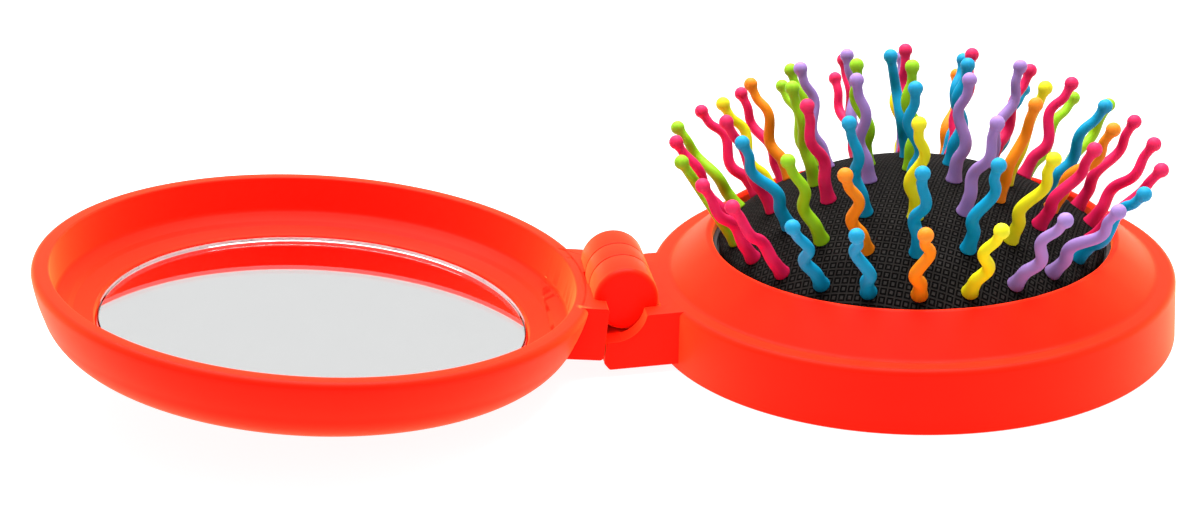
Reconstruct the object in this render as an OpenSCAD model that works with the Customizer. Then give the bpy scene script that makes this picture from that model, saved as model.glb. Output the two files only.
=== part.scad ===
// Folding pocket hairbrush with mirror, lying open as it does in use.
// The left half is a round dish that holds the mirror, and the right half carries a domed rubber pad with wavy
// pins. Both halves meet in a three-knuckle hinge. Lengths are millimetres and angles are degrees.
// The origin is under the middle of the open brush, in the plane that it stands on, and +Z is up.

/* [Whole brush] */
// Distance from the hinge axis to the middle of either half
half_span = 38.7; // [38.2:0.1:41]
// Height of the hinge axis above the table
hinge_h = 9.2; // [9.2:0.1:11]
// Angle by which the open lid stops short of lying flat
open_tilt = 8.5; // [0:0.5:12]
// Gap between each half's rim and the parting plane
rim_gap = 0.15; // [0.1:0.05:0.3]

/* [Lid] */
// Outer radius of the lid's rim
lid_r = 35; // [34.5:0.1:35.5]
// Inner radius of the lid's rim
lid_mouth_r = 32.85; // [32.5:0.05:33]
// Depth of the lid at the foot of its wall
lid_depth = 9.2; // [9:0.1:10]
// Extra depth of the lid's domed middle
lid_crown = 0.3; // [0.2:0.1:2]
// Radius of the rounded foot of the lid's wall
lid_foot_r = 5.5; // [4.5:0.1:6]

/* [Mirror] */
// Radius of the mirror glass
mirror_r = 27.15; // [26:0.05:27.5]
// Thickness of the mirror glass
mirror_t = 1; // [0.9:0.05:1.2]
// Depth of the mirror's face below the lid's rim
mirror_depth = 6.95; // [6.7:0.05:7.1]
// Width of the bevel round the mirror
bevel_w = 1.3; // [0.5:0.1:2]

/* [Base] */
// Outer radius of the base at its foot
base_r = 34.4; // [34:0.1:35]
// How far the base's wall leans in towards its top
base_draft = 0.35; // [0:0.05:0.6]
// Radius of the mouth that the pad stands in
mouth_r = 25.8; // [25.6:0.05:26]
// Height of the mouth's lip above the parting plane
mouth_h = 3.4; // [3.2:0.1:4]
// Radius where the ring that rises to the mouth starts
rise_r = 31.6; // [31:0.1:32]
// Depth of the flat flange round that ring below the parting plane
flange_drop = 1; // [0.8:0.1:1.2]
// Radius of the rounded shoulder round the base
shoulder_r = 0.85; // [0.5:0.05:1]

/* [Hinge] */
// Radius of the hinge knuckles
knuckle_r = 4.15; // [3.8:0.05:4.3]
// Length of the hinge barrel
barrel_l = 14.8; // [14:0.2:16]
// Length of the middle knuckle
middle_l = 4; // [3:0.2:5]
// Width of the arms that carry the knuckles
arm_w = 20.4; // [19:0.2:22]
// Radius of the steel hinge pin
pin_r = 0.9; // [0.7:0.05:1.1]

/* [Pad] */
// Radius of the ball that the pad's dome is cut from
dome_r = 38.8; // [38.2:0.1:40]
// Height of the dome's top above the parting plane
dome_h = 11.7; // [11.6:0.1:12.4]
// Radius of the pad's edge
pad_r = 25; // [24.8:0.1:25.1]
// Thickness of the pad's rubber
pad_t = 2; // [1.5:0.1:2.4]
// Travel of the pad between popped up and pushed in
pad_travel = 8; // [6:0.1:8]

/* [Pins] */
// Length of a pin from the rubber to the middle of its ball
pin_l = 13.8; // [12.6:0.1:15]
// Radius of a pin's shaft under its ball
shaft_r = 0.62; // [0.5:0.02:0.7]
// Radius of a pin's shaft above its root
stem_r = 0.82; // [0.62:0.02:0.9]
// Radius of the ball at a pin's tip
ball_r = 0.95; // [0.8:0.05:1.1]
// Sideways reach of a pin's wave
wave_reach = 0.8; // [0:0.05:0.9]
// Angle between two rings of pins, seen from the middle of the dome's ball
ring_step = 9.2; // [9:0.05:9.3]
// Direction of the first pin in each ring
ring_start = 17; // [0:0.5:60]

/* [Hidden] */

red = [1, 0.16, 0.11];
black = [0.08, 0.08, 0.09];
round_fn = 128;
eps = 0.01;

// The pins, ring by ring from the middle outwards: one letter a pin, for its colour.
// R is pink, L lime, B blue, V violet, Y yellow and O orange.
ring_colours = ["L", "BBLVBV", "VRRVVLRBYVOY", "RRBVRLOYRBLOBBYROB", "LLBOYRLRRLRLRRBBOYVVBRRR"];
// The way that each pin's wave faces: one letter a pin, from a to p, for the sixteenths of a turn.
ring_turns = ["a", "aiinea", "idjfdnjlmimm", "oapaabacdgmmkmlljb", "jalhnjbicgoekkmdnedkolfj"];

// The open brush stands with its middle over the origin.
lip_round = 0.8;
lid_reach = (half_span + lid_r) * cos(open_tilt) + lip_round * sin(open_tilt);
base_reach = half_span + base_r;
hinge_x = (lid_reach - base_reach) / 2;

// Points along an arc about c.
function arc(c, r, from, to, steps = 6) =
    [for (i = [0 : steps]) let (a = from + (to - from) * i / steps) c + r * [cos(a), sin(a)]];

// Points along a line from p to q that bows out by bulge in its middle.
function bow(p, q, bulge, steps = 6) =
    let (along = (q - p) / norm(q - p), out = [along[1], -along[0]])
    [for (i = [1 : steps - 1]) let (t = i / steps) p + (q - p) * t + out * 4 * bulge * t * (1 - t)];

module revolve(points) {
    rotate_extrude($fn = round_fn) polygon(points);
}

module ring(r_in, r_out, z_low, z_high) {
    revolve([[r_in, z_low], [r_out, z_low], [r_out, z_high], [r_in, z_high]]);
}

// A rod along Y between two places.
module rod(r, y_low, y_high, sides = round_fn) {
    translate([0, y_high, 0]) rotate([90, 0, 0]) cylinder(r = r, h = y_high - y_low, $fn = sides);
}

// A side profile in X and Z, extruded over a width along Y.
module slab(points, width) {
    rotate([90, 0, 0]) linear_extrude(width, center = true) polygon(points);
}

// The base's own frame: the middle of the base in the parting plane.
module at_base() {
    translate([hinge_x + half_span, 0, hinge_h]) children();
}

module at_hinge() {
    translate([hinge_x, 0, hinge_h]) children();
}

// The lid's own frame, with the hinge axis as its Y axis, turned to where the lid stops.
module at_lid() {
    at_hinge() rotate([0, open_tilt, 0]) children();
}

// ---- Hinge ----

knuckle_gap = 0.1;
swing_gap = 0.3;
stop_gap = 0.15;
stop_x = -2.6;
lid_arm_h = 7.2;
base_arm_h = 8.1;
scoop_r = 4.4;
scoop_x = -2.1;
knuckle_edge = 0.5;
barrel_end = barrel_l / 2;
middle_end = middle_l / 2;
pin_blind = 1.3;
pin_sunk = 0.3;

// A place on the plane where the two arms stop against each other, at a height below the axis.
function stop_at(z) = [(stop_x + stop_gap) / cos(open_tilt) + z * tan(open_tilt), z];

module base_arm() {
    foot = stop_at(-lid_arm_h);
    corner = [foot[0] + 0.65, -base_arm_h];
    root_x = half_span - base_r + 4;
    top = -flange_drop;
    difference() {
        slab([[root_x, top], [root_x, -base_arm_h], corner, foot, stop_at(top)], arm_w);
        // The scoop in front of and behind the barrel, which leaves its ends in view.
        translate([scoop_x, 0, 0]) rod(scoop_r, -arm_w, arm_w);
        translate([scoop_x - 4, -arm_w, -scoop_r]) cube([4, 2 * arm_w, 2 * scoop_r]);
        for (side = [-1, 1]) {
            knuckle_trough(side, knuckle_r + swing_gap);
        }
    }
    difference() {
        union() {
            rod(knuckle_r, -middle_end, middle_end);
            slab([[0, -knuckle_r], [root_x, -knuckle_r], [root_x, top], [0, top]], middle_l);
        }
        rod(pin_r + 0.05, -middle_l, middle_l);
    }
}

// The room that a lid knuckle turns in, on one side of the middle knuckle.
module knuckle_trough(side, r) {
    start = middle_end + eps;
    end = barrel_end + knuckle_gap * 2;
    rod(r, side > 0 ? start : -end, side > 0 ? end : -start);
}

// The lid's two knuckles, each with a rounded outer end.
module lid_knuckles() {
    start = middle_end + knuckle_gap;
    edge_c = [knuckle_r - knuckle_edge, barrel_end - knuckle_edge];
    for (side = [-1, 1]) {
        rotate([-90 * side, 0, 0])
            revolve(concat([[0, start], [knuckle_r, start]], arc(edge_c, knuckle_edge, 0, 90, 4), [[0, barrel_end]]));
    }
}

module lid_arm() {
    root_x = lid_r - half_span - 5;
    chamfer = 0.4;
    slab([[root_x, -rim_gap], [root_x, -lid_arm_h], [stop_x - chamfer, -lid_arm_h],
        [stop_x, -lid_arm_h + chamfer], [stop_x, -rim_gap]], arm_w);
    lid_knuckles();
}

module hinge_pin() {
    color([0.75, 0.76, 0.78]) at_hinge()
        rod(pin_r, -barrel_end + pin_blind + 0.1, barrel_end - pin_sunk);
}

// ---- Lid ----

lid_foot_x = 28.5;
lid_draft = 15.4;
crease_depth = 5.2;
seat_r = mirror_r + 0.3;
tape_t = 0.15;
seat_depth = mirror_depth + mirror_t + tape_t;

function lid_outside() =
    let (foot_c = [lid_foot_x, lid_foot_r - lid_depth], lip_c = [lid_r - lip_round, -rim_gap - lip_round],
        wall = arc(foot_c, lid_foot_r, -90, -lid_draft, 8), lip = arc(lip_c, lip_round, 0, 90, 5))
    concat([for (i = [0 : 6]) let (r = lid_foot_x * i / 7) [r, -lid_depth - lid_crown * (1 - pow(i / 7, 2))]],
        wall, bow(wall[8], lip[0], 0.12, 5), lip);

function lid_inside() =
    let (edge = 0.3, bend = 0.8, foot = [lid_mouth_r - 0.5, -crease_depth])
    concat(arc([lid_mouth_r + edge, -rim_gap - edge], edge, 90, 180, 3),
        arc(foot + [-bend, bend], bend, 0, -68, 4),
        [[30.6, -5.85], [30.0, -6.3], [28.2, -6.85], [seat_r + 0.25, -6.95], [seat_r, -7.15],
        [seat_r, -seat_depth], [0, -seat_depth]]);

module lid_shell() {
    color(red) at_lid() difference() {
        union() {
            translate([-half_span, 0, 0]) revolve(concat(lid_outside(), [[0, -rim_gap]]));
            lid_arm();
        }
        // The dish, open at the rim.
        translate([-half_span, 0, 0]) revolve(concat([[0, 1], [lid_mouth_r + 0.3, 1]], lid_inside()));
        // The notch in the arm and the rim that the base's middle knuckle turns in.
        rod(knuckle_r + swing_gap, -middle_end - knuckle_gap, middle_end + knuckle_gap);
        // The pin's bore, open at the back knuckle and blind in the front one.
        rod(pin_r + 0.02, -barrel_end + pin_blind, barrel_end + 1);
    }
}

module mirror_glass() {
    low = -mirror_depth - mirror_t;
    color([0.8, 0.82, 0.84]) at_lid() translate([-half_span, 0, 0])
        revolve([[0, low], [mirror_r, low], [mirror_r, -mirror_depth - 0.35],
            [mirror_r - bevel_w, -mirror_depth], [0, -mirror_depth]]);
}

module mirror_tape() {
    color([0.9, 0.9, 0.88]) at_lid() translate([-half_span, 0, -seat_depth])
        cylinder(r = mirror_r - 1.5, h = tape_t, $fn = round_fn);
}

// ---- Base ----

wall_t = 2;
base_foot_r = 0.3;
crease_r = 1.2;
lip_r = 0.6;
ledge_z = 1.9;
sleeve_r = mouth_r + 0.6;
sleeve_t = 1.6;
cover_t = 2.4;
cover_stop_r = 23.8;
cover_stop_t = 0.8;
rib_count = 10;
rib_t = 1;
rib_h = 4;

// The outer wall, shoulder, flat flange, rising ring and lip, from the foot up.
function base_outside() =
    let (top_r = base_r - base_draft, rise = 42,
        crease_c = [rise_r + crease_r * tan(rise / 2), crease_r - flange_drop])
    concat(arc([base_r - base_foot_r, base_foot_r - hinge_h], base_foot_r, -90, 0, 3),
        arc([top_r - shoulder_r, -flange_drop - shoulder_r], shoulder_r, 0, 90, 6),
        arc(crease_c, crease_r, -90, -90 - rise, 4),
        arc([mouth_r + lip_r, mouth_h - lip_r], lip_r, 90 - rise, 180, 6));

// Ribs that tie the base's outer wall to the sleeve round the well.
module base_ribs() {
    inner_r = base_r - wall_t;
    for (i = [0 : rib_count - 1]) {
        rotate([0, 0, 360 * (i + 0.5) / rib_count])
            translate([sleeve_r + sleeve_t / 2, -rib_t / 2, -hinge_h + cover_t + 0.1])
                cube([inner_r + wall_t / 2 - sleeve_r - sleeve_t / 2, rib_t, rib_h]);
    }
}

module base_housing() {
    inner_r = base_r - wall_t;
    color(red) {
        at_base() {
            base_ribs();
            revolve(concat(base_outside(), [[mouth_r, ledge_z], [sleeve_r, ledge_z],
                [sleeve_r, -hinge_h + cover_t], [sleeve_r + sleeve_t, -hinge_h + cover_t],
                [sleeve_r + sleeve_t, 0.6], [rise_r - 0.6, -flange_drop - 1.6],
                [inner_r, -flange_drop - 1.9], [inner_r, -hinge_h]]));
        }
        at_hinge() difference() {
            base_arm();
            translate([half_span, 0, 0]) cylinder(r = base_r - 1.2, h = 40, center = true, $fn = round_fn);
        }
    }
}

module bottom_cover() {
    inner_r = base_r - wall_t - 0.1;
    color(red) at_base() translate([0, 0, -hinge_h])
        revolve([[cover_stop_r, 0], [inner_r, 0], [inner_r, cover_t - 0.05], [sleeve_r - 0.05, cover_t - 0.05],
            [sleeve_r - 0.05, cover_stop_t], [cover_stop_r, cover_stop_t]]);
}

// ---- Pad ----

flange_gap = 0.1;
carrier_low = -hinge_h + cover_stop_t + 0.2 + pad_travel;
carrier_high = ledge_z - flange_gap;
carrier_in = 24.65;
clamp_in = 21.6;
pad_floor = 1.2;
pad_lip_in = 23.2;
skirt_in = 23.8;
skirt_out = 24.6;
skirt_low = 0.35;
dome_c = dome_h - dome_r;

module pad_carrier() {
    out_r = sleeve_r - 0.2;
    seat_out = pad_r + 0.2;
    color(black) at_base() revolve([[carrier_in, carrier_low], [out_r, carrier_low], [out_r, carrier_high],
        [seat_out, carrier_high], [seat_out, pad_floor - 0.05], [carrier_in, pad_floor - 0.05]]);
}

module clamp_ring() {
    neck = skirt_in - 0.05;
    color(black) at_base() revolve([[clamp_in, carrier_low], [skirt_out, carrier_low],
        [skirt_out, skirt_low - 0.05], [neck, skirt_low - 0.05], [neck, pad_floor - 0.05],
        [clamp_in, pad_floor - 0.05]]);
}

module cushion() {
    inner_r = dome_r - pad_t;
    edge = asin(pad_r / dome_r);
    inner_edge = asin(pad_lip_in / inner_r);
    dome = arc([0, dome_c], dome_r, 90 - edge, 90, 10);
    under = arc([0, dome_c], inner_r, 90, 90 - inner_edge, 10);
    color(black) at_base() revolve(concat([[skirt_in, pad_floor], [skirt_in, skirt_low], [skirt_out, skirt_low],
        [skirt_out, pad_floor], [pad_r, pad_floor]], dome, under, [[pad_lip_in, pad_floor]]));
}

// ---- Pins ----

pin_sides = 4;
head_r = 1.15;
head_t = 0.5;
root_r = 1.05;
straight_root = 3.1;
wave_l = 8.4;

// Sideways place of a pin's middle line: straight at the root, one full wave, and straight again at the ball.
function wave_at(s) =
    let (t = (s - straight_root) / wave_l) t <= 0 || t >= 1 ? 0 : wave_reach * sin(360 * t);

// Distance along a pin, and its radius there: the head under the rubber, the root, the tapering shaft and the ball.
pin_rings = concat([[-pad_t - head_t, head_r], [-pad_t - 0.02, head_r], [-pad_t, root_r * 0.75], [0, root_r],
    [1.4, stem_r]], [for (i = [0 : 8]) [straight_root + wave_l * i / 8, stem_r + (shaft_r - stem_r) * i / 8]],
    [[pin_l - ball_r * 0.4, ball_r * 0.9], [pin_l + ball_r * 0.1, ball_r], [pin_l + ball_r * 0.75, ball_r * 0.6]]);

function tint(letter) = letter == "R" ? [0.93, 0.13, 0.36] : letter == "L" ? [0.62, 0.81, 0.08]
    : letter == "B" ? [0, 0.63, 0.81] : letter == "V" ? [0.66, 0.53, 0.77]
    : letter == "Y" ? [0.93, 0.89, 0.1] : [0.97, 0.56, 0.08];

// Turn of a pin's wave about its own middle line, in sixteenths from outwards, as each stands in the photo.
function wave_turn(k, i) = (ord(ring_turns[k][i]) - ord("a")) * 22.5;

module pin() {
    n = len(pin_rings);
    points = [for (ring = pin_rings) for (j = [0 : pin_sides - 1]) let (a = 360 * j / pin_sides)
        [wave_at(ring[0]) + ring[1] * cos(a), ring[1] * sin(a), ring[0]]];
    sides = [for (i = [0 : n - 2]) for (j = [0 : pin_sides - 1])
        let (a = i * pin_sides + j, b = i * pin_sides + (j + 1) % pin_sides)
        each [[a, a + pin_sides, b], [b, a + pin_sides, b + pin_sides]]];
    low = [for (j = [1 : pin_sides - 2]) [0, j, j + 1]];
    top = (n - 1) * pin_sides;
    high = [for (j = [1 : pin_sides - 2]) [top, top + j + 1, top + j]];
    polyhedron(points, concat(sides, low, high));
}

// The pins of one colour in one ring, each standing square to the dome.
module pins(k, letter) {
    count = len(ring_colours[k]);
    color(tint(letter)) at_base() translate([0, 0, dome_c]) {
        for (i = [0 : count - 1]) {
            if (ring_colours[k][i] == letter) {
                rotate([0, 0, ring_start + 360 * i / count]) rotate([0, ring_step * k, 0])
                    translate([0, 0, dome_r]) rotate([0, 0, wave_turn(k, i)]) pin();
            }
        }
    }
}

base_housing();
bottom_cover();
pad_carrier();
clamp_ring();
cushion();
pins(0, "L");  // pin_centre_lime
pins(1, "B");  // pins_1_blue
pins(1, "L");  // pins_1_lime
pins(1, "V");  // pins_1_violet
pins(2, "V");  // pins_2_violet
pins(2, "R");  // pins_2_pink
pins(2, "L");  // pins_2_lime
pins(2, "B");  // pins_2_blue
pins(2, "Y");  // pins_2_yellow
pins(2, "O");  // pins_2_orange
pins(3, "R");  // pins_3_pink
pins(3, "B");  // pins_3_blue
pins(3, "V");  // pins_3_violet
pins(3, "L");  // pins_3_lime
pins(3, "O");  // pins_3_orange
pins(3, "Y");  // pins_3_yellow
pins(4, "L");  // pins_4_lime
pins(4, "B");  // pins_4_blue
pins(4, "O");  // pins_4_orange
pins(4, "Y");  // pins_4_yellow
pins(4, "R");  // pins_4_pink
pins(4, "V");  // pins_4_violet
lid_shell();
mirror_glass();
mirror_tape();
hinge_pin();
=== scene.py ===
"""Folding pocket hairbrush with a mirror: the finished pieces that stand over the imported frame.

The brush lies open. Its left half is a round dish with a mirror, and its right half is a ring-shaped case in
which a domed rubber pad with wavy pins pops up. Shapes are worked out in millimetres and become metres when a
piece is made.
"""

import logging
import math
from contextlib import contextmanager
from dataclasses import dataclass, field
from enum import Enum
from typing import Iterator, Mapping, Sequence, Union

import bmesh
import bpy
from mathutils import Matrix, Vector


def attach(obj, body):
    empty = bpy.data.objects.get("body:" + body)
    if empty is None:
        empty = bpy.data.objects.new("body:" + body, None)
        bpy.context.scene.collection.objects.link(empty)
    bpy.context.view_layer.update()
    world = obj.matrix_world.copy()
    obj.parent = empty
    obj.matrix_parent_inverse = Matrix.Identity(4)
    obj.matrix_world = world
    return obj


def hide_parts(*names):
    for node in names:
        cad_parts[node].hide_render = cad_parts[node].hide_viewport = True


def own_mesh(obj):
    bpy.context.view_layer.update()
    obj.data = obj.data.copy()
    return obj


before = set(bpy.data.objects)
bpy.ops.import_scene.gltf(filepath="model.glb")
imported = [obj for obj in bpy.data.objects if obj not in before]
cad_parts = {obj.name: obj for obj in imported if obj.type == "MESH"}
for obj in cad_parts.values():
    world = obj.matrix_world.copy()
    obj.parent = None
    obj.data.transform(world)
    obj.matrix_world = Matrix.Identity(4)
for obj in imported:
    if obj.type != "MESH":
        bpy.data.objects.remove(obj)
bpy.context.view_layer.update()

LOG = logging.getLogger("hairbrush")
MM = 0.001
WELD = 1e-7              # metres: nearer points are one
HAIR = 0.02              # millimetres: solids that are joined lie this far apart or overlap so much
STRAIGHT = math.radians(179)

Point = tuple[float, float]
Corner = tuple[float, float, float]
Colour = tuple[float, float, float]


class Body(Enum):
    """The bodies of the frame that a piece can ride on."""

    BASE = "base"
    PAD = "pad"
    LID = "lid"


class Join(Enum):
    """The ways in which two solids are put together."""

    ADD = "UNION"
    CUT = "DIFFERENCE"


def linear(red: int, green: int, blue: int) -> Colour:
    """Turn a colour as a screen shows it into the linear values that a shader takes.

    Args:
        red: Red, from 0 to 255.
        green: Green, from 0 to 255.
        blue: Blue, from 0 to 255.

    Returns:
        The three linear values, from 0 to 1.
    """
    def one(value: int) -> float:
        """Straighten one channel."""
        share = value / 255
        return share / 12.92 if share <= 0.04045 else ((share + 0.055) / 1.055) ** 2.4

    return one(red), one(green), one(blue)


# ---- Profiles ----


def arc(centre: Point, radius: float, start: float, end: float, steps: int) -> list[Point]:
    """Give points along an arc.

    Args:
        centre: The arc's centre.
        radius: Its radius.
        start: The angle of its first point, in degrees.
        end: The angle of its last point, in degrees.
        steps: How many pieces it has.

    Returns:
        The points from start to end.
    """
    angles = [math.radians(start + (end - start) * i / steps) for i in range(steps + 1)]
    return [(centre[0] + radius * math.cos(a), centre[1] + radius * math.sin(a)) for a in angles]


def bow(first: Point, last: Point, bulge: float, steps: int) -> list[Point]:
    """Give points between two places, on a line that bows out in its middle.

    Args:
        first: Where the line starts, which isn't among the points.
        last: Where it ends, which isn't among the points either.
        bulge: How far its middle stands out, to the right of the way from first to last.
        steps: How many pieces the line has.

    Returns:
        The points between the two ends.
    """
    along = Vector(last) - Vector(first)
    out = Vector((along[1], -along[0])).normalized()
    points = []
    for i in range(1, steps):
        t = i / steps
        spot = Vector(first) + along * t + out * 4 * bulge * t * (1 - t)
        points.append((spot[0], spot[1]))
    return points


def eased(corners: Sequence[Corner], steps: int = 5) -> list[Point]:
    """Round the corners of a closed outline.

    Args:
        corners: The corners in order, each with the radius that rounds it, or 0 for a sharp one.
        steps: How many pieces a rounded corner has.

    Returns:
        The outline's points.
    """
    points: list[Point] = []
    for i, (x, z, radius) in enumerate(corners):
        here = Vector((x, z))
        before = Vector(corners[i - 1][:2]) - here
        after = Vector(corners[(i + 1) % len(corners)][:2]) - here
        opening = before.angle(after) if before.length and after.length else math.pi
        if radius <= 0 or opening > STRAIGHT:
            points.append((x, z))
            continue
        reach = min(radius / math.tan(opening / 2), 0.49 * before.length, 0.49 * after.length)
        true_radius = reach * math.tan(opening / 2)
        inwards = (before.normalized() + after.normalized()).normalized()
        middle = here + inwards * true_radius / math.sin(opening / 2)
        start = here + before.normalized() * reach - middle
        end = here + after.normalized() * reach - middle
        turn = start.angle_signed(end)
        for k in range(steps + 1):
            spot = Matrix.Rotation(-turn * k / steps, 2) @ start + middle
            points.append((spot[0], spot[1]))
    return points


# ---- Solids ----


@contextmanager
def opened(mesh: bpy.types.Mesh) -> Iterator[bmesh.types.BMesh]:
    """Open a mesh to be edited, and write it back afterwards.

    Args:
        mesh: The mesh.

    Yields:
        Its editable form.
    """
    shape = bmesh.new()
    shape.from_mesh(mesh)
    yield shape
    shape.to_mesh(mesh)
    shape.free()


@dataclass
class Form:
    """Points in millimetres and the faces between them, before they become a piece."""

    points: list[Vector] = field(default_factory=list)
    faces: list[tuple[int, ...]] = field(default_factory=list)

    def add(self, other: "Form") -> "Form":
        """Take in another form's points and faces.

        Args:
            other: The form that is taken in.

        Returns:
            This form.
        """
        start = len(self.points)
        self.points += other.points
        self.faces += [tuple(start + i for i in face) for face in other.faces]
        return self

    def moved(self, place: Matrix) -> "Form":
        """Give this form moved by a matrix in millimetres."""
        return Form([place @ p for p in self.points], list(self.faces))

    def piece(self, name: str) -> bpy.types.Object:
        """Make the form an object in metres, with its faces turned outwards.

        Args:
            name: The object's name.

        Returns:
            The new object, which sits at the origin.
        """
        mesh = bpy.data.meshes.new(name)
        mesh.from_pydata([p * MM for p in self.points], [], self.faces)
        with opened(mesh) as shape:
            bmesh.ops.recalc_face_normals(shape, faces=shape.faces)
        made = bpy.data.objects.new(name, mesh)
        bpy.context.scene.collection.objects.link(made)
        return made


def lathe(profile: Sequence[Point], segments: int = 256) -> Form:
    """Turn a closed profile about the Z axis.

    Args:
        profile: The profile's points, as distance from the axis and height.
        segments: How many steps a full turn has.

    Returns:
        The turned solid.
    """
    form = Form()
    rings: list[list[int]] = []
    for r, z in profile:
        start = len(form.points)
        if r < 1e-6:
            form.points.append(Vector((0, 0, z)))
            rings.append([start] * segments)
            continue
        for i in range(segments):
            a = math.tau * i / segments
            form.points.append(Vector((r * math.cos(a), r * math.sin(a), z)))
        rings.append(list(range(start, start + segments)))
    for k, ring in enumerate(rings):
        above = rings[(k + 1) % len(rings)]
        for i in range(segments):
            j = (i + 1) % segments
            corners = list(dict.fromkeys((ring[i], ring[j], above[j], above[i])))
            if len(corners) > 2:
                form.faces.append(tuple(corners))
    return form


def rod(radius: float, start: float, end: float, edges: Point = (0.0, 0.0), segments: int = 128) -> Form:
    """Make a rod along the Y axis.

    Args:
        radius: Its radius.
        start: The Y of its one end.
        end: The Y of its other end.
        edges: The radii that round its first and its second end.
        segments: How many sides it has.

    Returns:
        The rod.
    """
    corners = [(0.0, start, 0.0), (radius, start, edges[0]), (radius, end, edges[1]), (0.0, end, 0.0)]
    return lathe(eased(corners, 6), segments).moved(Matrix.Rotation(math.radians(-90), 4, "X"))


def slab(outline: Sequence[Point], width: float) -> Form:
    """Extrude an outline in X and Z over a width along Y, centred.

    Args:
        outline: The outline's points.
        width: The slab's width.

    Returns:
        The slab.
    """
    count = len(outline)
    form = Form()
    for y in (-width / 2, width / 2):
        form.points += [Vector((x, y, z)) for x, z in outline]
    form.faces.append(tuple(range(count)))
    form.faces.append(tuple(reversed(range(count, 2 * count))))
    form.faces += [(i, (i + 1) % count, count + (i + 1) % count, count + i) for i in range(count)]
    return form


def soften_ends(piece: bpy.types.Object, half: float, radius: float) -> None:
    """Round the edges of a slab's two end faces.

    Args:
        piece: The slab, before it is moved.
        half: Half of its width.
        radius: The radius that rounds the edges.
    """
    with opened(piece.data) as shape:
        ends = [e for e in shape.edges if all(abs(abs(v.co.y) - half * MM) < WELD for v in e.verts)]
        bmesh.ops.bevel(shape, geom=ends, offset=radius * MM, segments=3, profile=0.5, affect="EDGES",
                        clamp_overlap=True)


def combine(target: bpy.types.Object, tool: bpy.types.Object, how: Join) -> None:
    """Add a solid to another or cut it out of it, and remove the tool.

    Args:
        target: The solid that is changed.
        tool: The solid that is added or cut out.
        how: What is done.
    """
    step = target.modifiers.new("step", "BOOLEAN")
    step.operation = how.value
    step.solver = "EXACT"
    step.object = tool
    graph = bpy.context.evaluated_depsgraph_get()
    changed = bpy.data.meshes.new_from_object(target.evaluated_get(graph))
    target.modifiers.clear()
    target.data = changed
    bpy.data.objects.remove(tool)


def polish(piece: bpy.types.Object, angle: float = 28.0) -> None:
    """Weld stray points and shade a piece smooth up to an angle.

    Args:
        piece: The piece.
        angle: The angle in degrees from which an edge stays sharp.
    """
    with opened(piece.data) as shape:
        bmesh.ops.remove_doubles(shape, verts=shape.verts, dist=WELD)
        bmesh.ops.dissolve_degenerate(shape, dist=WELD, edges=shape.edges)
    piece.data.shade_smooth()
    piece.data.set_sharp_from_angle(angle=math.radians(angle))


def fit(piece: bpy.types.Object, body: Body, material: bpy.types.Material,
        nodes: Sequence[str]) -> bpy.types.Object:
    """Dress a finished piece and put it on its body in place of the frame's own nodes.

    Args:
        piece: The piece, in place.
        body: The body that it rides on.
        material: Its material.
        nodes: The frame's nodes that it stands for.

    Returns:
        The piece.
    """
    piece.data.materials.clear()
    piece.data.materials.append(material)
    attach(piece, body.value)
    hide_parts(*nodes)
    LOG.info("%s: %d faces, rides on %s", piece.name, len(piece.data.polygons), body.value)
    return piece


# ---- Shader maths ----

Operand = Union["Sock", float, Colour, Vector]


class Sock:
    """A shader socket that can stand in a Python expression."""

    def __init__(self, bench: "Bench", socket: bpy.types.NodeSocket) -> None:
        """Wrap a socket of a bench's node tree."""
        self.bench = bench
        self.socket = socket

    def out(self, name: str) -> "Sock":
        """Give another output of the node that this socket is on."""
        return Sock(self.bench, self.socket.node.outputs[name])

    def _pair(self, operation: str, first: Operand, second: Operand) -> "Sock":
        """Join two operands by the node that fits what they carry.

        Args:
            operation: The operation's name, the same for numbers, vectors and colours.
            first: The left operand.
            second: The right operand.

        Returns:
            The result's socket.
        """
        kinds = {o.socket.type for o in (first, second) if isinstance(o, Sock)}
        if "RGBA" in kinds:
            settings = {"data_type": "RGBA", "blend_type": operation, "clamp_result": False}
            return self.bench.node("Mix", settings, {0: 1.0, 6: first, 7: second}, 2)
        if "VECTOR" in kinds:
            return self.bench.node("VectorMath", {"operation": operation}, {0: first, 1: second})
        return self.bench.node("Math", {"operation": operation}, {0: first, 1: second})

    def __add__(self, other: Operand) -> "Sock":
        """Add."""
        return self._pair("ADD", self, other)

    def __radd__(self, other: Operand) -> "Sock":
        """Add, reflected."""
        return self._pair("ADD", other, self)

    def __sub__(self, other: Operand) -> "Sock":
        """Subtract."""
        return self._pair("SUBTRACT", self, other)

    def __rsub__(self, other: Operand) -> "Sock":
        """Subtract, reflected."""
        return self._pair("SUBTRACT", other, self)

    def __mul__(self, other: Operand) -> "Sock":
        """Multiply."""
        return self._pair("MULTIPLY", self, other)

    def __rmul__(self, other: Operand) -> "Sock":
        """Multiply, reflected."""
        return self._pair("MULTIPLY", other, self)

    def __truediv__(self, other: Operand) -> "Sock":
        """Divide."""
        return self._pair("DIVIDE", self, other)

    def __rtruediv__(self, other: Operand) -> "Sock":
        """Divide, reflected."""
        return self._pair("DIVIDE", other, self)


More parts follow.
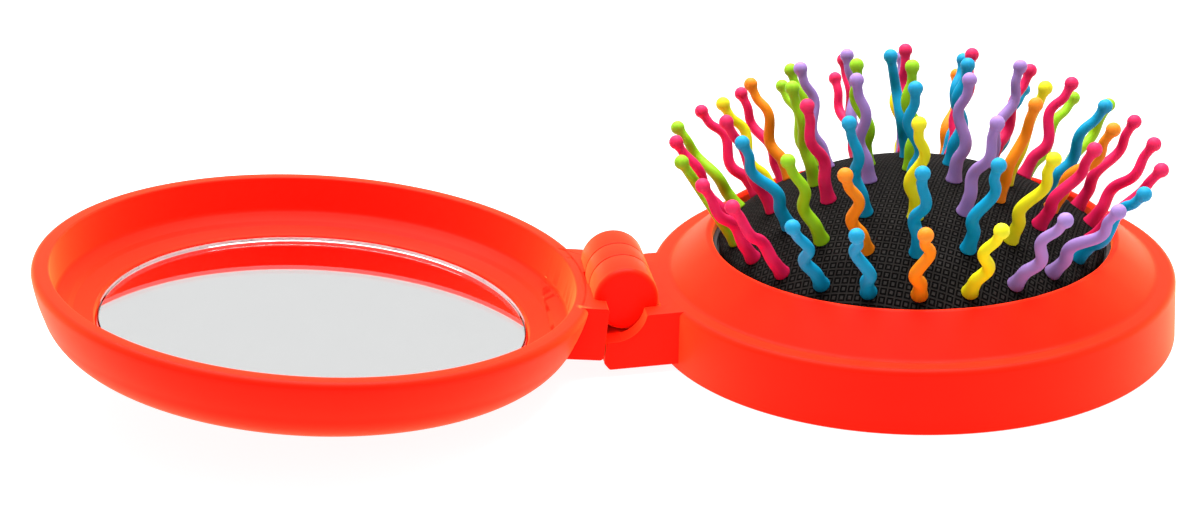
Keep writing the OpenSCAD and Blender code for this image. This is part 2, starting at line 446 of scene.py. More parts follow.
class Bench:
    """The node tree of one material or world, and the one way in which nodes are added to it."""

    def __init__(self, owner: Union[bpy.types.Material, bpy.types.World]) -> None:
        """Start with an empty tree.

        Args:
            owner: The material or world.
        """
        self.owner = owner
        owner.use_nodes = True
        self.tree = owner.node_tree
        self.tree.nodes.clear()

    @classmethod
    def material(cls, name: str) -> "Bench":
        """Start a new material's tree."""
        return cls(bpy.data.materials.new(name))

    def node(self, kind: str, settings: Mapping[str, object] = {},
             inputs: Mapping[Union[str, int], Operand] = {}, output: Union[str, int] = 0) -> Sock:
        """Add a node.

        Args:
            kind: The node's type, without the words ShaderNode.
            settings: Its own settings, such as a Math node's operation, which are set first.
            inputs: What its sockets get, by name or number: a value or a link.
            output: The output that is wanted, by name or number.

        Returns:
            The wanted output's socket.
        """
        made = self.tree.nodes.new("ShaderNode" + kind)
        for name, value in settings.items():
            setattr(made, name, value)
        for name, value in inputs.items():
            self._feed(made.inputs[name], value)
        return Sock(self, made.outputs[output])

    def _feed(self, socket: bpy.types.NodeSocket, value: Operand) -> None:
        """Link a socket or set its value.

        Args:
            socket: The input.
            value: A wrapped socket, a number, a colour or a vector.
        """
        if isinstance(value, Sock):
            self.tree.links.new(value.socket, socket)
        elif socket.type == "RGBA":
            plain = (value,) * 3 if isinstance(value, (int, float)) else tuple(value)[:3]
            socket.default_value = (*plain, 1.0)
        elif socket.type == "VECTOR" and isinstance(value, (int, float)):
            socket.default_value = (value,) * 3
        else:
            socket.default_value = value

    def where(self) -> Sock:
        """Give the place on the piece, in millimetres, in the frame that the piece rides in."""
        return self.node("TexCoord", {}, {}, "Object") * (1 / MM)

    def noise(self, place: Sock, scale: float, detail: float = 3.0, roughness: float = 0.5) -> Sock:
        """Give a noise from 0 to 1.

        Args:
            place: Where it is read, in millimetres.
            scale: How many blotches there are in a millimetre.
            detail: How many finer layers it has.
            roughness: How strong these are.

        Returns:
            The noise's value.
        """
        inputs = {"Vector": place, "Scale": scale, "Detail": detail, "Roughness": roughness}
        return self.node("TexNoise", {}, inputs, 0)

    def ramp(self, value: Sock, low: float, high: float) -> Sock:
        """Stretch the part of a value between low and high over 0 to 1, softly."""
        settings = {"interpolation_type": "SMOOTHSTEP"}
        return self.node("MapRange", settings, {"Value": value, 1: low, 2: high})

    def blend(self, share: Operand, first: Operand, second: Operand) -> Sock:
        """Mix two colours by a share from 0 to 1."""
        return self.node("Mix", {"data_type": "RGBA"}, {0: share, 6: first, 7: second}, 2)

    def higher(self, first: Sock, second: Sock) -> Sock:
        """Give the greater of two values."""
        return self.node("Math", {"operation": "MAXIMUM"}, {0: first, 1: second})

    def bump(self, height: Sock, depth: float, strength: float = 1.0) -> Sock:
        """Turn a height from 0 to 1 into a normal.

        Args:
            height: The height.
            depth: How deep a height of 1 is, in millimetres.
            strength: How much of the relief shows.

        Returns:
            The normal.
        """
        inputs = {"Height": height, "Distance": depth * MM, "Strength": strength}
        return self.node("Bump", {}, inputs, "Normal")

    def close(self, **sockets: Operand) -> bpy.types.Material:
        """Add the shader and the output.

        Args:
            sockets: What the shader's sockets get, with _ for a space in their names.

        Returns:
            The finished material.
        """
        named = {name.replace("_", " "): value for name, value in sockets.items()}
        self._end("OutputMaterial", self.node("BsdfPrincipled", {}, named))
        return self.owner

    def glow(self, level: Sock) -> None:
        """Let a world shine with a grey level."""
        self._end("OutputWorld", self.node("Background", {}, {"Color": level, "Strength": 1.0}))

    def _end(self, kind: str, surface: Sock) -> None:
        """Link the finished surface to an output node, which has no output of its own."""
        self._feed(self.tree.nodes.new("ShaderNode" + kind).inputs["Surface"], surface)


# ---- Finishes ----


@dataclass(frozen=True)
class RedPlastic:
    """The satin moulded plastic of both halves: a faintly mottled and scuffed red with a warm sheen."""

    name: str = "red_case_plastic"
    colour: Colour = linear(255, 14, 6)
    warm: Colour = linear(255, 20, 7)
    roughness: float = 0.38

    def material(self) -> bpy.types.Material:
        """Make the material."""
        b = Bench.material(self.name)
        place = b.where()
        mottle = b.ramp(b.noise(place, 0.06, 4), 0.35, 0.65)
        scuffs = b.ramp(b.noise(place * Vector((1.0, 6.0, 1.0)), 0.9, 5, 0.65), 0.62, 0.8)
        ripple = b.noise(place, 0.35, 2)
        grain = b.noise(place, 9.0, 2)
        return b.close(
            Base_Color=b.blend(mottle * 0.6, self.colour, self.warm),
            Roughness=self.roughness + mottle * 0.04 + scuffs * 0.10,
            Normal=b.bump(ripple * 0.8 + grain * 0.05, 0.02, 0.5),
            IOR=1.3,
            Specular_IOR_Level=0.08,
            Sheen_Weight=0.45,
            Sheen_Roughness=0.5,
            Sheen_Tint=(1.0, 0.45, 0.1))


@dataclass(frozen=True)
class BlackPlastic:
    """The matt black moulded rings that hold the pad, with a spark-eroded grain."""

    name: str = "black_ring_plastic"
    colour: Colour = linear(30, 30, 32)
    roughness: float = 0.55

    def material(self) -> bpy.types.Material:
        """Make the material."""
        b = Bench.material(self.name)
        place = b.where()
        grain = b.noise(place, 6.0, 3)
        patches = b.ramp(b.noise(place, 0.15, 3), 0.3, 0.7)
        return b.close(
            Base_Color=b.blend(patches, self.colour, linear(42, 42, 45)),
            Roughness=self.roughness + patches * 0.12,
            Normal=b.bump(grain, 0.03, 0.6))


@dataclass(frozen=True)
class ReliefRubber:
    """The pad's soft black rubber, moulded all over with a lattice of fine ridges and a stud in each cell."""

    name: str = "black_relief_rubber"
    pitch: float = 0.98
    turn: float = 27.0
    ridge: float = 0.79
    stud: float = 0.43
    # Painted shade: the pits between the ridges and the studs are painted near black.
    painted_pit_shade: Colour = (0.0006, 0.0005, 0.0005)
    ridge_tone: Colour = (0.0200, 0.0178, 0.0165)
    stud_tone: Colour = (0.026, 0.0235, 0.022)
    relief: float = 0.22

    def material(self) -> bpy.types.Material:
        """Make the material."""
        b = Bench.material(self.name)
        place = b.where()
        turned = b.node("VectorRotate", {"rotation_type": "Z_AXIS"},
                        {"Vector": place, "Center": Vector((0, 0, 0)), "Angle": math.radians(self.turn)})
        split = b.node("SeparateXYZ", {}, {0: turned}, "X")
        edges: list[Sock] = []
        for axis in ("X", "Y"):
            cell = b.node("Math", {"operation": "FRACT"}, {0: split.out(axis) / self.pitch})
            edges.append(b.node("Math", {"operation": "ABSOLUTE"}, {0: cell - 0.5}) * 2)
        edge = b.higher(*edges)
        ridge = b.ramp(edge, self.ridge - 0.09, self.ridge + 0.05)
        stud = 1 - b.ramp(edge, self.stud - 0.1, self.stud + 0.1)
        wear = b.noise(place, 1.3, 3)
        dust = b.ramp(b.noise(place, 0.2, 4), 0.35, 0.75)
        # The pits take the painted shade, the ridges and the studs their own tones.
        tone = b.blend(ridge, b.blend(stud, self.painted_pit_shade, self.stud_tone), self.ridge_tone)
        return b.close(
            Base_Color=tone * (0.35 + wear * 0.5 + dust * 0.2),
            Roughness=0.86 - stud * 0.1 + dust * 0.06,
            Normal=b.bump(b.higher(ridge, stud * 0.85) + wear * 0.1, self.relief, 0.9),
            Specular_IOR_Level=0.03)


@dataclass(frozen=True)
class PinNylon:
    """A pin's nylon: slightly milky, with painted shade towards the root and painted light at the ball."""

    tint_name: str
    colour: Colour
    roughness: float = 0.5

    def material(self) -> bpy.types.Material:
        """Make the material."""
        b = Bench.material(f"{self.tint_name}_pin_nylon")
        place = b.where()
        height = b.node("Attribute", {"attribute_name": "height"}, {}, "Fac")
        # Painted shade: the nylon is painted darker towards the root.
        deep = tuple(c * 0.88 for c in self.colour)
        cloud = b.noise(place, 0.8, 3)
        body = b.blend(b.ramp(height, -0.05, 0.42), deep, self.colour)
        # Painted light: the nylon is painted lighter at the ball.
        tip = tuple(min(1.0, c * 1.12 + 0.02) for c in self.colour)
        return b.close(
            Base_Color=b.blend(b.ramp(height, 0.82, 1.0) * 0.5 + (cloud - 0.5) * 0.1, body, tip),
            Roughness=self.roughness + cloud * 0.06,
            Normal=b.bump(b.noise(place, 4.0, 2), 0.02, 0.35),
            Subsurface_Weight=0.22,
            Subsurface_Radius=Vector((0.8, 0.8, 0.8)),
            Subsurface_Scale=0.6 * MM,
            Specular_IOR_Level=0.12)


@dataclass(frozen=True)
class MirrorGlass:
    """The mirror's clear bevelled glass, with the faintest haze and a few wipe marks."""

    name: str = "mirror_clear_glass"
    colour: Colour = (0.985, 0.99, 0.985)

    def material(self) -> bpy.types.Material:
        """Make the material."""
        b = Bench.material(self.name)
        wipes = b.ramp(b.noise(b.where() * Vector((1.0, 0.35, 1.0)), 0.12, 4), 0.45, 0.8)
        return b.close(Base_Color=self.colour, Roughness=wipes * 0.02, IOR=1.5, Transmission_Weight=1.0)


@dataclass(frozen=True)
class GroundEdge:
    """The ground edge of the mirror's glass, white and frosted."""

    name: str = "mirror_ground_edge"
    colour: Colour = linear(225, 222, 220)

    def material(self) -> bpy.types.Material:
        """Make the material."""
        b = Bench.material(self.name)
        chips = b.ramp(b.noise(b.where(), 1.2, 3), 0.55, 0.75)
        return b.close(Base_Color=b.blend(chips * 0.7, self.colour, linear(150, 146, 146)), Roughness=0.7)


@dataclass(frozen=True)
class MirrorSilver:
    """The silvering on the back of the mirror's glass."""

    name: str = "mirror_silver"
    colour: Colour = (0.90, 0.905, 0.91)

    def material(self) -> bpy.types.Material:
        """Make the material."""
        b = Bench.material(self.name)
        clouds = b.ramp(b.noise(b.where(), 0.12, 4), 0.45, 0.8)
        return b.close(
            Base_Color=b.blend(clouds * 0.2, self.colour, (0.86, 0.87, 0.88)),
            Metallic=1.0,
            Roughness=0.015)


@dataclass(frozen=True)
class DrawnSteel:
    """The hinge pin's drawn steel wire, with fine lines along it."""

    name: str = "drawn_steel"
    colour: Colour = (0.62, 0.63, 0.65)

    def material(self) -> bpy.types.Material:
        """Make the material."""
        b = Bench.material(self.name)
        place = b.where()
        lines = b.noise(place * Vector((9.0, 0.3, 9.0)), 1.2, 3)
        return b.close(
            Base_Color=b.blend(lines, self.colour, (0.5, 0.5, 0.52)),
            Metallic=1.0,
            Roughness=0.24 + lines * 0.14,
            Normal=b.bump(lines, 0.01, 0.5))


@dataclass(frozen=True)
class FoamTape:
    """The thin foam tape that holds the mirror, with open pores."""

    name: str = "foam_tape"
    colour: Colour = linear(226, 224, 216)

    def material(self) -> bpy.types.Material:
        """Make the material."""
        b = Bench.material(self.name)
        place = b.where()
        pores = b.node("TexVoronoi", {}, {"Vector": place, "Scale": 2.2}, "Distance")
        return b.close(
            # Painted shade: each pore is painted darker towards its middle, where the bump sinks it deepest.
            Base_Color=b.blend(b.ramp(pores, 0.0, 0.4), linear(190, 188, 180), self.colour),
            Roughness=0.85,
            Normal=b.bump(pores, 0.08, 0.8))


# ---- The brush's own frames ----


@dataclass(frozen=True)
class Layout:
    """Where the halves stand in the frame of the open brush."""

    half_span: float = 38.7
    hinge_h: float = 9.2
    open_tilt: float = 8.5
    lid_r: float = 35.0
    base_r: float = 34.4
    lip_round: float = 0.8
    rim_gap: float = 0.15

    def hinge(self) -> Matrix:
        """Give the frame on the hinge axis."""
        tilt = math.radians(self.open_tilt)
        lid_reach = (self.half_span + self.lid_r) * math.cos(tilt) + self.lip_round * math.sin(tilt)
        hinge_x = (lid_reach - self.half_span - self.base_r) / 2
        return Matrix.Translation((hinge_x, 0, self.hinge_h))

    def base(self) -> Matrix:
        """Give the frame in the middle of the base."""
        return self.hinge() @ Matrix.Translation((self.half_span, 0, 0))

    def lid_hinge(self) -> Matrix:
        """Give the frame on the hinge axis, turned with the open lid."""
        return self.hinge() @ Matrix.Rotation(math.radians(self.open_tilt), 4, "Y")

    def lid(self) -> Matrix:
        """Give the frame in the middle of the open lid."""
        return self.lid_hinge() @ Matrix.Translation((-self.half_span, 0, 0))


@dataclass(frozen=True)
class Hinge:
    """The sizes that both halves' hinge arms share."""

    knuckle_r: float = 4.15
    barrel_l: float = 14.8
    middle_l: float = 4.0
    arm_w: float = 20.4
    pin_r: float = 0.9
    pin_edge: float = 0.2
    pin_start: float = 1.4
    pin_short: float = 0.3
    bore_start: float = 1.3
    bore_gap: float = 0.05
    knuckle_gap: float = 0.1
    swing_gap: float = 0.3
    inner_edge: float = 0.15
    outer_edge: float = 0.8
    arm_edge: float = 0.5
    lid_arm_h: float = 7.2
    stop_x: float = -2.6


@dataclass
class BaseHalf:
    """The ring-shaped case that the pad stands in, its hinge arm and the cover under it."""

    layout: Layout
    hinge: Hinge
    plastic: bpy.types.Material
    draft: float = 0.35
    mouth_r: float = 25.8
    mouth_h: float = 3.4
    rise_r: float = 31.6
    rise: float = 42.0
    flange_drop: float = 1.0
    shoulder_r: float = 0.85
    crease_r: float = 1.2
    lip_r: float = 0.6
    wall_t: float = 2.0
    foot_r: float = 0.3
    ledge_z: float = 1.9
    sleeve_t: float = 1.6
    cover_t: float = 2.4
    plate_t: float = 0.8
    opening_r: float = 23.8
    cover_gap: float = 0.05
    sleeve_gap: float = 0.6
    sleeve_top: float = 0.6
    roof_in: float = 0.6
    roof_t: float = 1.6
    flange_t: float = 1.9
    lead_in: float = 0.2
    arm_h: float = 8.1
    arm_reach: float = 4.0
    arm_bite: float = 1.2
    scoop_r: float = 4.4
    scoop_x: float = -2.1
    lip_edge: float = 0.22
    foot_edge: float = 0.3
    heel_w: float = 0.65
    heel_edge: float = 0.4
    stop_gap: float = 0.15
    rib_count: int = 10
    rib_h: float = 4.0
    rib_t: float = 1.0

    def outside(self) -> list[Point]:
        """Give the case's outer profile, from the foot up over the flat flange to the mouth's lip."""
        base_r, floor = self.layout.base_r, -self.layout.hinge_h
        edge_x = base_r - self.draft - self.shoulder_r
        bend_x = self.rise_r + self.crease_r * math.tan(math.radians(self.rise / 2))
        foot = arc((base_r - self.foot_r, floor + self.foot_r), self.foot_r, -90, 0, 6)
        shoulder = arc((edge_x, -self.flange_drop - self.shoulder_r), self.shoulder_r, 0, 90, 12)
        bend = arc((bend_x, self.crease_r - self.flange_drop), self.crease_r, -90, -90 - self.rise, 8)
        lip = arc((self.mouth_r + self.lip_r, self.mouth_h - self.lip_r), self.lip_r, 90 - self.rise, 180, 14)
        return foot + shoulder + bend + lip

    def case(self) -> bpy.types.Object:
        """Make the case with its ribs and hinge arm.

        Returns:
            The finished case.
        """
        floor, sleeve_r = -self.layout.hinge_h, self.mouth_r + self.sleeve_gap
        inner_r, seat = self.layout.base_r - self.wall_t, floor + self.cover_t
        sleeve_out = sleeve_r + self.sleeve_t
        inside = [(self.mouth_r, self.ledge_z), (sleeve_r, self.ledge_z), (sleeve_r, seat + self.lead_in),
                  (sleeve_r + self.lead_in, seat), (sleeve_out, seat), (sleeve_out, self.sleeve_top),
                  (self.rise_r - self.roof_in, -self.flange_drop - self.roof_t),
                  (inner_r, -self.flange_drop - self.flange_t), (inner_r, floor + self.lead_in),
                  (inner_r + self.lead_in, floor)]
        place = self.layout.base()
        case = lathe(self.outside() + inside).moved(place).piece("base_case")
        combine(case, self._ribs(inner_r, sleeve_r).moved(place).piece("ribs"), Join.ADD)
        combine(case, self._arm(), Join.ADD)
        polish(case)
        return fit(case, Body.BASE, self.plastic, ["base_housing"])

    def _ribs(self, inner_r: float, sleeve_r: float) -> Form:
        """Give the ribs between the outer wall and the sleeve round the well.

        Args:
            inner_r: The outer wall's inner radius.
            sleeve_r: The sleeve's inner radius.

        Returns:
            All the ribs.
        """
        start, end = sleeve_r + self.sleeve_t / 2, inner_r + self.wall_t / 2
        low = -self.layout.hinge_h + self.cover_t + 2 * self.cover_gap
        high = low + self.rib_h
        one = slab([(start, low), (end, low), (end, high), (start, high)], self.rib_t)
        ribs = Form()
        for i in range(self.rib_count):
            ribs.add(one.moved(Matrix.Rotation(math.tau * (i + 0.5) / self.rib_count, 4, "Z")))
        return ribs

    def _stop_at(self, z: float) -> Point:
        """Give the place on the plane that the lid's arm stops against, at a height below the hinge axis."""
        tilt = math.radians(self.layout.open_tilt)
        return (self.hinge.stop_x + self.stop_gap) / math.cos(tilt) + z * math.tan(tilt), z

    def _arm(self) -> bpy.types.Object:
        """Make the arm with its scoop, its troughs and the middle knuckle, in place."""
        h, top = self.hinge, -self.flange_drop - HAIR
        foot, lip = self._stop_at(-h.lid_arm_h), self._stop_at(-self.scoop_r)
        root_x = self.layout.half_span - self.layout.base_r + self.arm_reach
        scoop = arc((self.scoop_x, 0), self.scoop_r, math.degrees(math.asin(top / self.scoop_r)), -90, 20)
        corners = [(root_x, top, 0.0), (scoop[0][0], top, self.foot_edge)]
        corners += [(x, z, 0.0) for x, z in scoop[2:]]
        corners += [(*lip, self.lip_edge), (*foot, self.foot_edge),
                    (foot[0] + self.heel_w, -self.arm_h, self.heel_edge), (root_x, -self.arm_h, 0.0)]
        arm = slab(eased(corners), h.arm_w).piece("arm")
        soften_ends(arm, h.arm_w / 2, h.arm_edge)
        for side in (-1, 1):
            ends = sorted((side * (h.middle_l / 2 + HAIR / 2), side * (h.barrel_l / 2 + 2 * h.knuckle_gap)))
            combine(arm, rod(h.knuckle_r + h.swing_gap, *ends).piece("trough"), Join.CUT)
        middle = rod(h.knuckle_r, -h.middle_l / 2, h.middle_l / 2, (h.inner_edge, h.inner_edge))
        combine(arm, middle.piece("knuckle"), Join.ADD)
        web = slab([(0, -h.knuckle_r), (root_x, -h.knuckle_r), (root_x, top), (0, top)], h.middle_l - HAIR)
        combine(arm, web.piece("web"), Join.ADD)
        combine(arm, rod(h.pin_r + h.bore_gap, -h.middle_l, h.middle_l).piece("bore"), Join.CUT)
        well_r, well_h = self.layout.base_r - self.arm_bite, 20
        well = lathe([(0, -well_h), (well_r, -well_h), (well_r, well_h), (0, well_h)])
        combine(arm, well.moved(Matrix.Translation((self.layout.half_span, 0, 0))).piece("well"), Join.CUT)
        arm.data.transform(Matrix.Translation(self.layout.hinge().translation * MM))
        return arm

    def cover(self) -> bpy.types.Object:
        """Make the flat ring that closes the case from below.

        Returns:
            The finished cover.
        """
        inner, outer = self.opening_r, self.layout.base_r - self.wall_t - 2 * self.cover_gap
        sleeve, top = self.mouth_r + self.sleeve_gap - self.cover_gap, self.cover_t - self.cover_gap
        corners = [(inner, 0, 0.25), (outer, 0, 0.35), (outer, top, 0.1), (sleeve, top, 0.1),
                   (sleeve, self.plate_t, 0.0), (inner, self.plate_t, 0.25)]
        place = self.layout.base() @ Matrix.Translation((0, 0, -self.layout.hinge_h))
        cover = lathe(eased(corners)).moved(place).piece("base_cover")
        polish(cover)
        return fit(cover, Body.BASE, self.plastic, ["bottom_cover"])


@dataclass
class LidHalf:
    """The round dish with the mirror in it, its hinge arm and the steel pin of the hinge."""

    layout: Layout
    hinge: Hinge
    plastic: bpy.types.Material
    clear: bpy.types.Material
    ground: bpy.types.Material
    silver: bpy.types.Material
    foam: bpy.types.Material
    steel: bpy.types.Material
    mouth_r: float = 32.85
    depth: float = 9.2
    crown: float = 0.3
    foot_x: float = 28.5
    foot_r: float = 5.5
    draft: float = 15.4
    wall_bow: float = 0.12
    arm_reach: float = 5.0
    lip_in: float = 1.1
    lip_edge: float = 0.3
    crease_r: float = 0.8
    crease_in: float = 0.5
    crease_depth: float = 5.2
    slope: tuple[Corner, ...] = ((30.6, -5.85, 0.5), (30.0, -6.3, 0.9), (28.2, -6.85, 1.2))
    seat_gap: float = 0.3
    seat_edge: Corner = (0.15, -6.98, 0.12)
    seat_z: float = -7.2
    tape_room: float = 0.15
    mirror_r: float = 27.15
    mirror_t: float = 1.0
    mirror_depth: float = 6.95
    bevel_w: float = 0.2
    bevel_h: float = 0.1
    arris: float = 0.05

    def outside(self) -> list[Point]:
        """Give the dish's outer profile, from the middle of its back up to the lip."""
        lip_round, gap = self.layout.lip_round, self.layout.rim_gap
        shares = [i / 12 for i in range(12)]
        back = [(self.foot_x * t, -self.depth - self.crown * (1 - t**2)) for t in shares]
        wall = arc((self.foot_x, self.foot_r - self.depth), self.foot_r, -90, -self.draft, 20)
        lip = arc((self.layout.lid_r - lip_round, -gap - lip_round), lip_round, 0, 90, 10)
        return back + wall + bow(wall[-1], lip[0], self.wall_bow, 10) + lip

    def hollow(self) -> list[Point]:
        """Give the dish's inner profile below the lip: the crease, the sloping ring and the mirror's seat."""
        bend, seat_r = self.crease_r, self.mirror_r + self.seat_gap
        crease = arc((self.mouth_r - self.crease_in - bend, bend - self.crease_depth), bend, 0, -68, 10)
        floor = -self.mirror_depth - self.mirror_t - self.tape_room
        step, edge_z, edge = self.seat_edge
        slope = eased([(*crease[-1], 0), *self.slope, (seat_r + step, edge_z, edge), (seat_r, self.seat_z, 0),
                       (seat_r, floor, 0)], 6)[1:-1]
        return crease + slope + [(seat_r, floor), (0.0, floor)]

    def inside(self) -> list[Point]:
        """Give the dish's whole inner profile, from the lip down."""
        edge, gap = self.lip_edge, self.layout.rim_gap
        return arc((self.mouth_r + edge, -gap - edge), edge, 90, 180, 6) + self.hollow()

    def dish(self) -> bpy.types.Object:
        """Make the dish with its hinge arm.

        Returns:
            The finished dish.
        """
        h, top = self.hinge, -self.layout.rim_gap
        place = self.layout.lid()
        dish = lathe(self.outside() + self.inside()).moved(place).piece("lid_case")
        root_x = self.layout.lid_r - self.layout.half_span - self.arm_reach
        corners = [(root_x, top, 0), (root_x, -h.lid_arm_h, 0), (h.stop_x, -h.lid_arm_h, 0.5),
                   (h.stop_x, top, 0.25)]
        arm = slab(eased(corners), h.arm_w).piece("arm")
        soften_ends(arm, h.arm_w / 2, h.arm_edge)
        room_r = self.mouth_r + self.lip_in
        room = lathe([(0.0, 1.0), (room_r, 1.0), (room_r, -1.0)] + self.hollow())
        combine(arm, room.moved(Matrix.Translation((-self.layout.half_span, 0, 0))).piece("room"), Join.CUT)
        inner, outer = h.middle_l / 2 + h.knuckle_gap, h.barrel_l / 2
        front = rod(h.knuckle_r, -outer, -inner, (h.outer_edge, h.inner_edge))
        back = rod(h.knuckle_r, inner, outer, (h.inner_edge, h.outer_edge))
        combine(arm, front.add(back).piece("knuckles"), Join.ADD)
        turn = self.layout.lid_hinge()
        self._to_frame(arm, turn)
        combine(dish, arm, Join.ADD)
        notch = rod(h.knuckle_r + h.swing_gap, -inner, inner).moved(turn).piece("notch")
        combine(dish, notch, Join.CUT)
        bore = rod(h.pin_r + HAIR, h.bore_start - outer, outer + 1).moved(turn).piece("bore")
        combine(dish, bore, Join.CUT)
        polish(dish)
        return fit(dish, Body.LID, self.plastic, ["lid_shell"])

    @staticmethod
    def _to_frame(piece: bpy.types.Object, place: Matrix) -> None:
        """Move a piece's mesh from its own frame, where it was made in place, to the brush's frame."""
        metres = place.copy()
        metres.translation = metres.translation * MM
        piece.data.transform(metres)

    def glass(self) -> bpy.types.Object:
        """Make the mirror: clear glass with a ground edge and a silvered back.

        Returns:
            The finished mirror.
        """
        face, back, cut = -self.mirror_depth, -self.mirror_depth - self.mirror_t, self.arris
        edge, rim = self.mirror_r, self.mirror_r - self.bevel_w
        profile = [(0, back), (edge - cut, back), (edge, back + cut), (edge, face - self.bevel_h - cut),
                   (edge - cut, face - self.bevel_h), (rim, face), (0, face)]
        place = self.layout.lid()
        glass = lathe(profile).moved(place).piece("mirror_plate")
        polish(glass, 5.0)
        fit(glass, Body.LID, self.clear, ["mirror_glass"])
        glass.data.materials.append(self.ground)
        glass.data.materials.append(self.silver)
        up = place.to_3x3() @ Vector((0, 0, 1))
        for part in glass.data.polygons:
            lean = part.normal.dot(up)
            part.material_index = 2 if lean < -0.9 else 1 if lean < 0.3 else 0
        return glass

    def pin(self) -> bpy.types.Object:
        """Make the steel pin of the hinge.

        Returns:
            The finished pin.
        """
        h = self.hinge
        start, end = h.pin_start - h.barrel_l / 2, h.barrel_l / 2 - h.pin_short
        wire = rod(h.pin_r, start, end, (h.pin_edge, h.pin_edge), 48)
        wire = wire.moved(self.layout.hinge()).piece("hinge_wire")
        polish(wire)
        return fit(wire, Body.LID, self.steel, ["hinge_pin"])

    def tape(self) -> bpy.types.Object:
        """Dress the frame's own tape, which lies hidden under the mirror."""
        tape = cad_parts["mirror_tape"]
        tape.data.materials.clear()
        tape.data.materials.append(self.foam)
        LOG.info("mirror_tape: the frame's own node, dressed")
        return tape


@dataclass
class PopUpPad:
    """The domed rubber pad, the ring that carries it and the ring that clamps it."""

    layout: Layout
    rubber: bpy.types.Material
    plastic: bpy.types.Material
    dome_r: float = 38.8
    dome_h: float = 11.7
    edge_r: float = 25.0
    rubber_t: float = 2.0
    lip_in: float = 23.2
    floor_z: float = 1.2
    skirt_in: float = 23.8
    skirt_out: float = 24.6
    skirt_low: float = 0.35
    low: float = -0.2
    seam: float = 0.05
    rim_w: float = 0.2
    roll_h: float = 0.35
    ring_in: float = 24.65
    ring_out: float = 26.2
    ring_h: float = 1.8
    clamp_in: float = 21.6
    flat_keep: float = 0.25

    @property
    def centre_z(self) -> float:
        """Give the height of the middle of the dome's ball, above the parting plane."""
        return self.dome_h - self.dome_r

    @property
    def edge_z(self) -> float:
        """Give the height of the dome's edge, above the parting plane."""
        return self.centre_z + math.sqrt(self.dome_r**2 - self.edge_r**2)

    def cushion(self) -> bpy.types.Object:
        """Make the rubber dome.

        Returns:
            The finished dome.
        """
        edge = math.degrees(math.asin(self.edge_r / self.dome_r))
        inner_r = self.dome_r - self.rubber_t
        inner = math.degrees(math.asin(self.lip_in / inner_r))
        middle = (0.0, self.centre_z)
        outer_edge = [(self.edge_r, self.floor_z + 2 * self.seam), (self.edge_r, self.edge_z - self.roll_h),
                      (self.edge_r - 0.06, self.edge_z - 0.1)]
        dome = arc(middle, self.dome_r, 90 - edge + 0.4, 90, 60)
        under = arc(middle, inner_r, 90, 90 - inner, 40)
        skirt = [(self.skirt_in, self.floor_z), (self.skirt_in, self.skirt_low),
                 (self.skirt_out, self.skirt_low), (self.skirt_out, self.floor_z)]
        profile = skirt + outer_edge + dome[:-1] + [(0.0, self.dome_h)]
        profile += [(0.0, under[0][1])] + under[1:] + [(self.lip_in, self.floor_z)]
        pad = lathe(profile).moved(self.layout.base()).piece("rubber_dome")
        polish(pad, 40.0)
        fit(pad, Body.PAD, self.rubber, ["cushion"])
        anchor_z = (self.edge_z + self.layout.hinge_h) * MM
        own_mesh(pad)
        return pad

    def carrier(self) -> bpy.types.Object:
        """Make the ring that slides in the well and carries the pad's edge.

        Returns:
            The finished ring.
        """
        inner, outer, step = self.ring_in, self.ring_out, self.floor_z - self.seam
        rim = self.edge_r + self.rim_w
        corners = [(inner, self.low, 0.15), (outer, self.low, 0.2), (outer, self.ring_h, 0.15),
                   (rim, self.ring_h, 0.1), (rim, step, 0.0), (inner, step, 0.05)]
        ring = lathe(eased(corners)).moved(self.layout.base()).piece("pad_carrier_ring")
        polish(ring)
        return fit(ring, Body.PAD, self.plastic, ["pad_carrier"])

    def clamp(self) -> bpy.types.Object:
        """Make the ring that clamps the pad's edge from below.

        Returns:
            The finished ring.
        """
        neck, step, top = self.skirt_in - self.seam, self.skirt_low - self.seam, self.floor_z - self.seam
        corners = [(self.clamp_in, self.low, 0.2), (self.skirt_out, self.low, 0.1), (self.skirt_out, step, 0.0),
                   (neck, step, 0.0), (neck, top, 0.05), (self.clamp_in, top, 0.2)]
        ring = lathe(eased(corners)).moved(self.layout.base()).piece("pad_clamp_ring")
        polish(ring)
        return fit(ring, Body.PAD, self.plastic, ["clamp_ring"])


@dataclass(frozen=True)
class Tint:
    """One of the pins' colours: its letter in the pattern, its name and how a screen shows it."""

    letter: str
    name: str
    screen: tuple[int, int, int]

    def albedo(self) -> Colour:
        """Give the nylon's own colour, which the studio's light brings up to the one on the screen."""
        red, green, blue = (channel * 0.72 for channel in linear(*self.screen))
        return red, green, blue


class PinTint(Enum):
    """The six colours that the pins come in."""

    PINK = Tint("R", "pink", (238, 28, 92))
    LIME = Tint("L", "lime", (150, 208, 20))
    BLUE = Tint("B", "blue", (0, 154, 200))
    VIOLET = Tint("V", "violet", (166, 130, 200))
    YELLOW = Tint("Y", "yellow", (240, 232, 20))
    ORANGE = Tint("O", "orange", (248, 140, 14))


